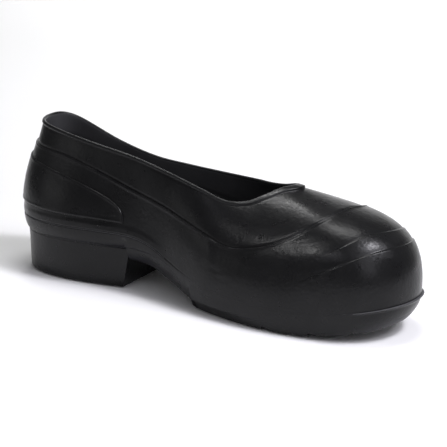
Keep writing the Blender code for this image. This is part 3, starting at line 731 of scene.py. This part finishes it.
def rungs_between(marks):
    """The marks with more rungs between them, at most the spacing of the later mark apart."""
    lengths = [EDGES[side]["length"] for side in ("medial", "lateral")]
    rungs = [marks[0]]
    for last, row in zip(marks, marks[1:]):
        stretch = max((row[side] - last[side]) * lengths[side] for side in (0, 1))
        count = max(1, math.ceil(stretch / row[-1]))
        for i in range(1, count + 1):
            rungs.append(tuple(a + (b - a) * i / count for a, b in zip(last, row)))
    return np.array(rungs)


def edge_chamfer(base):
    """Chamfer of the sole's lower edge, which all but ends on top of the heel block."""
    return np.where(base > HEEL_SEAT - SEAT_RANGE, SEAT_CHAMFER, EDGE_CHAMFER)


def sole_side(around, base, edge_height):
    """Levels of the sole's side from the tread up to its top edge and in to the floor of the shoe."""
    points, normals = edge_at(around)
    from_heel = points[:, 0]
    foot = base + spring(from_heel) * (base < WAIST_FRONT)
    top = side_value("top", from_heel)
    line, step, undercut = rand_at(around, from_heel)
    low_out = side_value("bottom_out", from_heel)
    high_out = top_out(around, from_heel)
    flush = high_out + foot_relief(from_heel)
    chamfer = edge_chamfer(base)
    lip = TOE_LIP * smooth_step(*LIP_FADE, from_heel)
    floor = side_value("floor", from_heel)

    def wall(height):
        run = np.clip((height - foot) / (top - foot), 0.0, 1.0)
        return low_out + (flush - low_out) * run * (2.0 - run)

    foot_height = np.maximum(edge_height, foot)
    line = np.clip(line, foot_height + chamfer + RAND_ROOM[0], top - RAND_ROOM[1])

    def recess(height):
        share = np.clip((height - foot_height) / (line - foot_height), 0.0, 1.0)
        return step * RAND_UNDER * (RAND_FOOT + (1.0 - RAND_FOOT) * share) + undercut * (1.0 - share)

    levels = [(low_out - chamfer - undercut, edge_height)]
    for rise, back in EDGE_ROUND:
        height = foot_height + rise * chamfer
        levels.append((wall(height) - back * chamfer - recess(height), height))
    start = levels[-1][1]
    for i in range(1, WALL_ROWS + 1):
        height = start + (line - RAND_REACH - start) * i / WALL_ROWS
        levels.append((wall(height) - recess(height), height))
    for offset, share in RAND_PROFILE:
        levels.append((wall(line + offset) + step * share, line + offset))
    for i in range(1, WALL_ROWS + 1):
        height = line + RAND_REACH + (top - LIP_ROOM - line - RAND_REACH) * i / WALL_ROWS
        proud = step * RAND_OVER * (1.0 - smooth_step(0.0, 1.0, i / WALL_ROWS))
        levels.append((wall(height) + proud, height))
    for drop, share in LIP_PROFILE:
        groove = joint_depth(from_heel) * (1.0 - smooth_step(0.0, JOINT_WIDTH, drop))
        levels.append((wall(top - drop) + lip * share - groove, top - drop))
    levels.append((high_out - RIM_WIDTH, top))
    for turn in FLOOR_TURNS:
        swing = math.radians(turn)
        out = high_out - RIM_WIDTH - FLOOR_FILLET * (1.0 - math.cos(swing))
        levels.append((out, top + (floor - top) * math.sin(swing)))
    return np.stack([np.column_stack([points + normals * out[:, None], z]) for out, z in levels], axis=1)


def across_rows(left, right, columns):
    """Rows of points between two edges, without the edges themselves."""
    share = np.linspace(0.0, 1.0, columns + 1)[None, 1:-1, None]
    return left[:, None, :] * (1 - share) + right[:, None, :] * share


def edge_distance(rows):
    """How far each point of the rows across the sole lies from the nearer end of its row."""
    return np.minimum(rows[:, :, 1] - rows[:, :1, 1], rows[:, -1:, 1] - rows[:, :, 1])


def make_outsole(columns=160, floor_columns=22):
    """A band of closed sections from the heel to the toe, sewn up along its edges."""
    rungs = rungs_between(sole_marks())
    medial, lateral, base, pattern = rungs[:, 0], 2.0 - rungs[:, 1], rungs[:, 2], rungs[:, 3]
    edges = []
    for around in (medial, lateral):
        points, normals = edge_at(around)
        undercut = rand_at(around, points[:, 0])[2]
        out = side_value("bottom_out", points[:, 0]) - edge_chamfer(base) - undercut
        edges.append(points + normals * out[:, None])
    bottom = across_rows(*edges, columns)
    bottom = np.concatenate([edges[0][:, None], bottom, edges[1][:, None]], axis=1)
    tread_end = share_at("medial", TREAD_END[0])
    reach = EDGES["medial"]["length"] * np.abs(medial - tread_end)
    bow = TREAD_END_BOW * np.exp(-(reach / TREAD_END_REACH) ** 2)
    bottom[:, :, 0] += bow[:, None] * np.sin(math.pi * np.linspace(0.0, 1.0, columns + 1))[None, :]
    from_edge = edge_distance(bottom)
    grooved = (medial > tread_end + 0.001)[:, None]  # just past the steep end of the tread
    shallow = GROOVE_SHALLOW + (1.0 - GROOVE_SHALLOW) * smooth_step(*GROOVE_EDGE, from_edge)
    under = np.where(grooved, TREAD_HEIGHT + (base[:, None] - TREAD_HEIGHT) * shallow, base[:, None])
    pattern = pattern[:, None] * smooth_step(*SIPE_MARGIN, from_edge)
    front = PANEL_FRONT - PANEL_SLANT * bottom[:, :, 1]
    panel = 1.0 - smooth_step(PANEL_EDGE - PANEL_SOFT, PANEL_EDGE, bottom[:, :, 1])
    panel = panel * (1.0 - smooth_step(-PANEL_SOFT, 0.0, bottom[:, :, 0] - front))
    pattern = pattern * (1.0 - panel)
    height = tread_height(bottom[:, :, 0], bottom[:, :, 1], under, pattern)
    bottom = np.concatenate([bottom, height[:, :, None]], axis=2)
    ground = np.where(grooved[:, 0], TREAD_HEIGHT, base)
    sides = [sole_side(around, ground, height[:, column]) for around, column in ((medial, 0), (lateral, -1))]
    floor = across_rows(sides[1][:, -1], sides[0][:, -1], floor_columns)
    section = [bottom, sides[1][:, 1:], floor, sides[0][:, :0:-1], bottom[:, :1]]
    obj = shaped_grid("outsole_rubber", np.concatenate(section, axis=1))
    weld(obj)
    cut_bores(obj, FOREFOOT_STUDS)
    paint_sole(obj)
    finish_piece(obj, "sole_rubber", "outsole", angle=42.0)


def heel_places(side, reach, rungs=140, turn=5, start=0.012):
    """Places of rungs along one edge: even round the blunt back of the heel, then even going forward."""
    shares = list(np.linspace(0.0, share_at(side, reach * start), turn, endpoint=False))
    shares += [share_at(side, reach * run) for run in np.linspace(start, 1.0, rungs)]
    return np.array(shares) if side == "medial" else 2.0 - np.array(shares)


def make_heel(columns=130):
    """The heel block: rungs from the back of the heel to the breast, closed by the breast itself."""
    sides = []
    for side, breast in zip(("medial", "lateral"), BREAST):
        levels = []
        for height, out, back in HEEL_LEVELS:
            points, normals = edge_at(heel_places(side, breast - back))
            levels.append(np.column_stack([points + normals * out, np.full(len(points), height)]))
        sides.append(np.stack(levels, axis=1))
    medial, lateral = sides
    middle = across_rows(medial[:, 0], lateral[:, 0], columns)
    bottom = np.concatenate([medial[:, :1], middle, lateral[:, :1]], axis=1)
    pattern = smooth_step(*SIPE_MARGIN, edge_distance(bottom))
    bottom[:, :, 2] = tread_height(bottom[:, :, 0], bottom[:, :, 1], bottom[:, :, 2], pattern)
    medial[:, 0, 2], lateral[:, 0, 2] = bottom[:, 0, 2], bottom[:, -1, 2]
    for side in sides:
        for level in (1, 2):
            side[:, level, 2] = np.maximum(side[:, level, 2], side[:, level - 1, 2] + EDGE_RISE)
    roof = across_rows(lateral[:, -1], medial[:, -1], columns)
    block = shaped_grid("heel_block", np.concatenate(
        [bottom, lateral[:, 1:], roof, medial[:, :0:-1], bottom[:, :1]], axis=1))
    rows = [bottom[-1]]
    for level in range(1, len(HEEL_LEVELS)):
        ends = medial[-1:, level], lateral[-1:, level]
        rows.append(np.concatenate([ends[0], across_rows(*ends, columns)[0], ends[1]]))
    breast = shaped_grid("heel_breast", np.stack(rows))
    obj = join(block, breast)
    weld(obj)
    cut_bores(obj, HEEL_STUDS)
    paint_sole(obj)
    finish_piece(obj, "sole_rubber", "heel", angle=42.0)


def paint_sole(obj):
    """Give the underside the harder compound, the sides the upper's rubber and the floor its matt inside."""
    # The floor's rubber is painted lighter grey: painted light that lifts the shade inside the shoe
    obj.data.materials.clear()
    for material in (material_upper_rubber(), material_sole_rubber(), material_inner_rubber_painted_light()):
        obj.data.materials.append(material)
    for polygon in obj.data.polygons:
        if polygon.normal.z < -FACING:
            polygon.material_index = 1
        else:
            polygon.material_index = 2 if polygon.normal.z > FACING else 0


def cut_bores(obj, places, sides=24):
    """Cut the round seats of the studs."""
    cutters = []
    for from_heel, across in places:
        mouth = (from_heel, across, TREAD_HEIGHT + float(spring(np.array(from_heel))))
        deselect()
        bpy.ops.mesh.primitive_cylinder_add(vertices=sides, radius=(STUD_RADIUS + BORE_CLEARANCE) * MM,
                                            depth=2 * (STUD_DEPTH + BORE_CLEARANCE) * MM,
                                            location=to_metres(mouth))
        cutters.append(bpy.context.object)
    cutter = join(*cutters)
    deselect()
    obj.select_set(True)
    bpy.context.view_layer.objects.active = obj
    bores = obj.modifiers.new("stud bores", "BOOLEAN")
    bores.operation = "DIFFERENCE"
    bores.object = cutter
    bpy.ops.object.modifier_apply(modifier=bores.name)
    bpy.data.objects.remove(cutter)


# Studs

def first_stud(sides=28):
    """A stud with its tip down, turned from its profile about the point where its axis meets the tread."""
    angles = np.linspace(0.0, math.tau, sides + 1)
    points = np.array([[(r * math.cos(a), r * math.sin(a), z) for a in angles] for r, z in STUD_PROFILE])
    # Its place is the frame's origin, from which each copy is moved
    stud = shaped_grid("stud_model", points + (CENTRE_FROM_HEEL, CENTRE_ACROSS, 0.0))
    weld(stud)
    return stud


def make_studs():
    """Copies of the first stud, each with its own mesh, with a darker pin in a bright jacket."""
    model = first_stud()
    model.data.materials.append(material_stud_steel())
    model.data.materials.append(material_stud_pin())
    for polygon in model.data.polygons:
        away = max(math.hypot(*model.data.vertices[i].co.xy) for i in polygon.vertices)
        polygon.material_index = 1 if away < PIN_RADIUS * MM else 0
    for i, (from_heel, across) in enumerate(FOREFOOT_STUDS + HEEL_STUDS, start=1):
        stud = model.copy()
        stud.data = model.data.copy()
        stud.name = "ice_stud_%02d" % i
        bpy.context.scene.collection.objects.link(stud)
        mouth = (from_heel, across, TREAD_HEIGHT + float(spring(np.array(from_heel))))
        stud.data.transform(Matrix.Translation(to_metres(mouth)))
        finish_piece(stud, "stud_steel", "stud_%02d" % i, angle=30.0)
    bpy.data.objects.remove(model)


# Materials

RUBBER_IOR = 1.27          # rubber has 1.52; lowered until the sheen is as faint as on the real shoe
COAT_ROUGHNESS = 0.2
# Sizes of the patterns in millimetres: patches of bloom, of polish from handling, slow waves of the wall
BLOOM_SIZE = 26.0
POLISH_SIZE = 9.0
RIPPLE_SIZE = 14.0
WEAR_SIZE = 0.7            # worn spots of the studs
FIBRE_SIZE = 3.0           # paper has finer fibres; drawn as coarse as it needs to show
MADE = {}


def linear(hex_colour):
    """An sRGB hex colour as the linear colour that the shaders use."""
    channels = [int(hex_colour[i:i + 2], 16) / 255 for i in (1, 3, 5)]
    return [c / 12.92 if c <= 0.04045 else ((c + 0.055) / 1.055) ** 2.4 for c in channels] + [1.0]


def add(tree, kind, inputs, **settings):
    """Add a node with its settings; an input that is another node's socket is linked."""
    node = tree.nodes.new(kind)
    for name, value in settings.items():
        setattr(node, name, value)
    for name, value in inputs.items():
        if isinstance(value, bpy.types.NodeSocket):
            tree.links.new(value, node.inputs[name])
        else:
            node.inputs[name].default_value = value
    return node


def new_material(name):
    """A material with only its output, and the tree that it is built in."""
    material = bpy.data.materials.new(name)
    material.use_nodes = True
    tree = material.node_tree
    tree.nodes.clear()
    MADE[name] = material
    return material, tree


def per_mm(size):
    """Scale of a texture whose features are a number of millimetres apart."""
    return 1.0 / (size * MM)


def rubber(name, dark, grey, roughness, grain, grain_depth, ripple_depth, coat):
    """Moulded rubber: near black, satin, with the mould's grain and a faint grey bloom in patches.

    The grain of a mould is about 0.3 mm, too fine to show, so it is drawn three to nine times as coarse.
    """
    if name in MADE:
        return MADE[name]
    material, tree = new_material(name)
    place = add(tree, "ShaderNodeTexCoord", {}).outputs["Object"]
    bloom = add(tree, "ShaderNodeTexNoise", {"Vector": place, "Scale": per_mm(BLOOM_SIZE), "Detail": 4.0})
    colour = add(tree, "ShaderNodeValToRGB", {"Fac": bloom.outputs["Fac"]})
    colour.color_ramp.elements[0].position = 0.35
    colour.color_ramp.elements[0].color = linear(dark)
    colour.color_ramp.elements[1].position = 0.75
    colour.color_ramp.elements[1].color = linear(grey)
    polish = add(tree, "ShaderNodeTexNoise", {"Vector": place, "Scale": per_mm(POLISH_SIZE), "Detail": 3.0})
    matt = add(tree, "ShaderNodeMapRange", {"Value": polish.outputs["Fac"], "From Min": 0.3, "From Max": 0.7,
                                            "To Min": roughness - 0.04, "To Max": roughness + 0.05})
    fine = add(tree, "ShaderNodeTexNoise", {"Vector": place, "Scale": per_mm(grain), "Detail": 3.0})
    ripple = add(tree, "ShaderNodeTexNoise", {"Vector": place, "Scale": per_mm(RIPPLE_SIZE), "Detail": 1.0})
    soft = add(tree, "ShaderNodeBump", {"Height": ripple.outputs["Fac"], "Distance": ripple_depth * MM})
    bump = add(tree, "ShaderNodeBump", {"Height": fine.outputs["Fac"], "Distance": grain_depth * MM,
                                        "Normal": soft.outputs["Normal"]})
    shader = add(tree, "ShaderNodeBsdfPrincipled", {
        "Base Color": colour.outputs["Color"], "Roughness": matt.outputs["Result"], "IOR": RUBBER_IOR,
        "Coat Weight": coat, "Coat Roughness": COAT_ROUGHNESS, "Normal": bump.outputs["Normal"],
        "Coat Normal": bump.outputs["Normal"]})
    add(tree, "ShaderNodeOutputMaterial", {"Surface": shader.outputs["BSDF"]})
    return material


def material_upper_rubber():
    """Natural rubber from a polished mould: deep black with a satin shine that its grain breaks up."""
    return rubber("moulded upper rubber", dark="#101011", grey="#171718", roughness=0.3, grain=2.6,
                  grain_depth=0.16, ripple_depth=0.08, coat=0.08)


def material_inner_rubber_painted_light():
    """The same rubber inside the shoe, from the mould's matt core: dull, and painted grey as painted fill
    light.
    """
    # Both colours are painted light: far lighter than the outer rubber's, they lift the shade inside the shoe
    return rubber("inner rubber with painted fill light", dark="#464648", grey="#505052", roughness=0.6, grain=2.0,
                  grain_depth=0.05, ripple_depth=0.05, coat=0.0)


def material_sole_rubber():
    """Harder sole compound from a matt mould: bluish black and less shiny, with a shallow grain."""
    return rubber("moulded sole rubber", dark="#0e0e11", grey="#15151a", roughness=0.4, grain=0.8,
                  grain_depth=0.02, ripple_depth=0.08, coat=0.1)


def steel(name, bright, dull, roughness):
    """Metal with small worn spots, which are duller and a little darker."""
    if name in MADE:
        return MADE[name]
    material, tree = new_material(name)
    place = add(tree, "ShaderNodeTexCoord", {}).outputs["Object"]
    wear = add(tree, "ShaderNodeTexNoise", {"Vector": place, "Scale": per_mm(WEAR_SIZE), "Detail": 4.0})
    colour = add(tree, "ShaderNodeValToRGB", {"Fac": wear.outputs["Fac"]})
    colour.color_ramp.elements[0].position = 0.3
    colour.color_ramp.elements[0].color = linear(dull)
    colour.color_ramp.elements[1].position = 0.6
    colour.color_ramp.elements[1].color = linear(bright)
    matt = add(tree, "ShaderNodeMapRange", {"Value": wear.outputs["Fac"], "To Min": roughness + 0.1,
                                            "To Max": roughness - 0.08})
    bump = add(tree, "ShaderNodeBump", {"Height": wear.outputs["Fac"], "Distance": 0.01 * MM})
    shader = add(tree, "ShaderNodeBsdfPrincipled", {
        "Base Color": colour.outputs["Color"], "Metallic": 1.0, "Roughness": matt.outputs["Result"],
        "Normal": bump.outputs["Normal"]})
    add(tree, "ShaderNodeOutputMaterial", {"Surface": shader.outputs["BSDF"]})
    return material


def material_stud_steel():
    """Zinc-plated steel jacket of a stud: bright and slightly worn."""
    return steel("plated stud steel", bright="#e6e6ea", dull="#a9a9b0", roughness=0.3)


def material_stud_pin():
    """Sintered hard-metal pin: dark grey and dull."""
    return steel("hard metal pin", bright="#77777d", dull="#505056", roughness=0.42)


def material_floor():
    """Matt studio paper, almost white."""
    material, tree = new_material("studio paper")
    place = add(tree, "ShaderNodeTexCoord", {}).outputs["Object"]
    fibre = add(tree, "ShaderNodeTexNoise", {"Vector": place, "Scale": per_mm(FIBRE_SIZE), "Detail": 3.0})
    bump = add(tree, "ShaderNodeBump", {"Height": fibre.outputs["Fac"], "Distance": 0.02 * MM})
    shader = add(tree, "ShaderNodeBsdfPrincipled", {
        "Base Color": linear("#fafafa"), "Roughness": 0.9, "Specular IOR Level": 0.1,
        "Normal": bump.outputs["Normal"]})
    add(tree, "ShaderNodeOutputMaterial", {"Surface": shader.outputs["BSDF"]})
    return material


# Studio

VIEW_CENTRE = (160.0, 0.0, 40.0)   # the camera's distance and angles are measured from here
VIEW_AZIMUTH = 28.5
VIEW_ELEVATION = 15.5
VIEW_DISTANCE = 900.0
VIEW_ROLL = 2.0
VIEW_AIM = (163.2, 0.0, 52.2)
LENS = 97.8
SENSOR = 36.0

# Paper sweep, in metres
SWEEP_SIZE = 6.6           # from its front edge to its top, along the paper
SWEEP_WIDEN = 1.4          # its breadth, as a share of that
SWEEP_START = 1.6          # it starts to rise this far behind the shoe
SWEEP_RADIUS = 1.0

# Lights, in degrees and metres: name, azimuth, elevation and distance from the shoe, width, height, watts,
# colour, aim, spread.  The boxes stand where the sheens of the shoe mirror them, and the fills lift its
# shadows.  The toe side box is close and has a narrow grid, so that the wall behind the toe, which faces the
# same way, stays dark.
SHOE = (0.0, 0.0, 0.05)
TOE_SIDE = (0.108, -0.053, 0.059)
BACKDROP = (0.0, 3.4, 1.0)
OPEN = 180.0               # spread of a box without a grid
LIGHTS = (
    ("overhead box", -165.0, 82.0, 1.5, 0.6, 0.5, 6.8, "#ffffff", SHOE, OPEN),
    ("vamp box", -132.0, 57.0, 1.5, 0.24, 0.22, 2.8, "#ffffff", SHOE, OPEN),
    ("toe box", 88.0, 57.0, 1.4, 0.24, 0.24, 8.8, "#f9f8ff", SHOE, OPEN),
    ("toe glow", 84.0, 50.0, 1.5, 0.8, 0.7, 9.8, "#f7f6ff", SHOE, OPEN),
    ("toe side box", -4.0, 47.4, 0.314, 0.09, 0.09, 0.0037, "#ffffff", TOE_SIDE, 15.0),
    ("front strip", 54.0, 28.0, 1.6, 0.6, 1.0, 3.6, "#f7f6ff", SHOE, OPEN),
    ("front fill", 0.0, 41.0, 1.6, 0.5, 0.5, 1.3, "#f7f6ff", SHOE, OPEN),
    ("low fill", -47.0, 11.0, 1.6, 0.5, 0.35, 0.55, "#ffffff", SHOE, OPEN),
    ("backdrop light", 170.0, 62.0, 2.2, 2.6, 0.6, 70.0, "#ffffff", BACKDROP, OPEN),
)
WORLD_STRENGTH = 0.14


def direction(azimuth, elevation):
    """Unit vector from the shoe; azimuth 0 is towards the inner side and 90 towards the toe."""
    a, e = math.radians(azimuth), math.radians(elevation)
    return Vector((math.sin(a) * math.cos(e), -math.cos(a) * math.cos(e), math.sin(e)))


def add_camera():
    """The camera, a little from the front and from above, turned slightly about its axis."""
    data = bpy.data.cameras.new("camera")
    data.lens = LENS
    data.sensor_width = SENSOR
    data.clip_start = 0.01
    camera = bpy.data.objects.new("camera", data)
    bpy.context.scene.collection.objects.link(camera)
    away = direction(VIEW_AZIMUTH, VIEW_ELEVATION) * VIEW_DISTANCE * MM
    camera.location = Vector(to_metres(VIEW_CENTRE)) + away
    look = Vector(to_metres(VIEW_AIM)) - camera.location
    roll = Matrix.Rotation(math.radians(VIEW_ROLL), 4, "Z")
    camera.rotation_euler = (look.to_track_quat("-Z", "Y").to_matrix().to_4x4() @ roll).to_euler()
    bpy.context.scene.camera = camera


def add_softbox(name, azimuth, elevation, distance, width, height, watts, colour, aim, spread):
    """A rectangular light at a distance from the shoe that faces its aim; a grid narrows its spread."""
    data = bpy.data.lights.new(name, "AREA")
    data.shape = "RECTANGLE"
    data.size = width
    data.size_y = height
    data.energy = watts
    data.spread = math.radians(spread)
    data.color = linear(colour)[:3]
    light = bpy.data.objects.new(name, data)
    light.visible_camera = False
    bpy.context.scene.collection.objects.link(light)
    light.location = direction(azimuth, elevation) * distance + Vector(SHOE)
    light.rotation_euler = (light.location - Vector(aim)).to_track_quat("Z", "Y").to_euler()


def add_studio():
    """Paper sweep under and behind the shoe, and the lights round it."""
    deselect()
    bpy.ops.mesh.primitive_grid_add(x_subdivisions=2, y_subdivisions=60, size=SWEEP_SIZE)
    paper = bpy.context.object
    paper.name = "paper_sweep"
    for vertex in paper.data.vertices:
        run = vertex.co.y - SWEEP_START
        bend = min(max(run, 0.0) / SWEEP_RADIUS, math.pi / 2)
        vertex.co.x *= SWEEP_WIDEN
        vertex.co.y = SWEEP_START + min(run, 0.0) + SWEEP_RADIUS * math.sin(bend)
        vertex.co.z = SWEEP_RADIUS * (1.0 - math.cos(bend)) + max(run - SWEEP_RADIUS * math.pi / 2, 0.0)
    paper.data.materials.append(material_floor())
    bpy.ops.object.shade_smooth()
    paper.rotation_euler.z = math.radians(VIEW_AZIMUTH)
    bpy.ops.object.transform_apply(rotation=True)
    for light in LIGHTS:
        add_softbox(*light)
    world = bpy.data.worlds.new("studio")
    world.use_nodes = True
    background = world.node_tree.nodes["Background"]
    background.inputs["Color"].default_value = linear("#ffffff")
    background.inputs["Strength"].default_value = WORLD_STRENGTH
    bpy.context.scene.world = world
    bpy.context.scene.view_settings.view_transform = "Standard"


make_upper()
make_counter()
make_outsole()
make_heel()
make_studs()
add_studio()
add_camera()
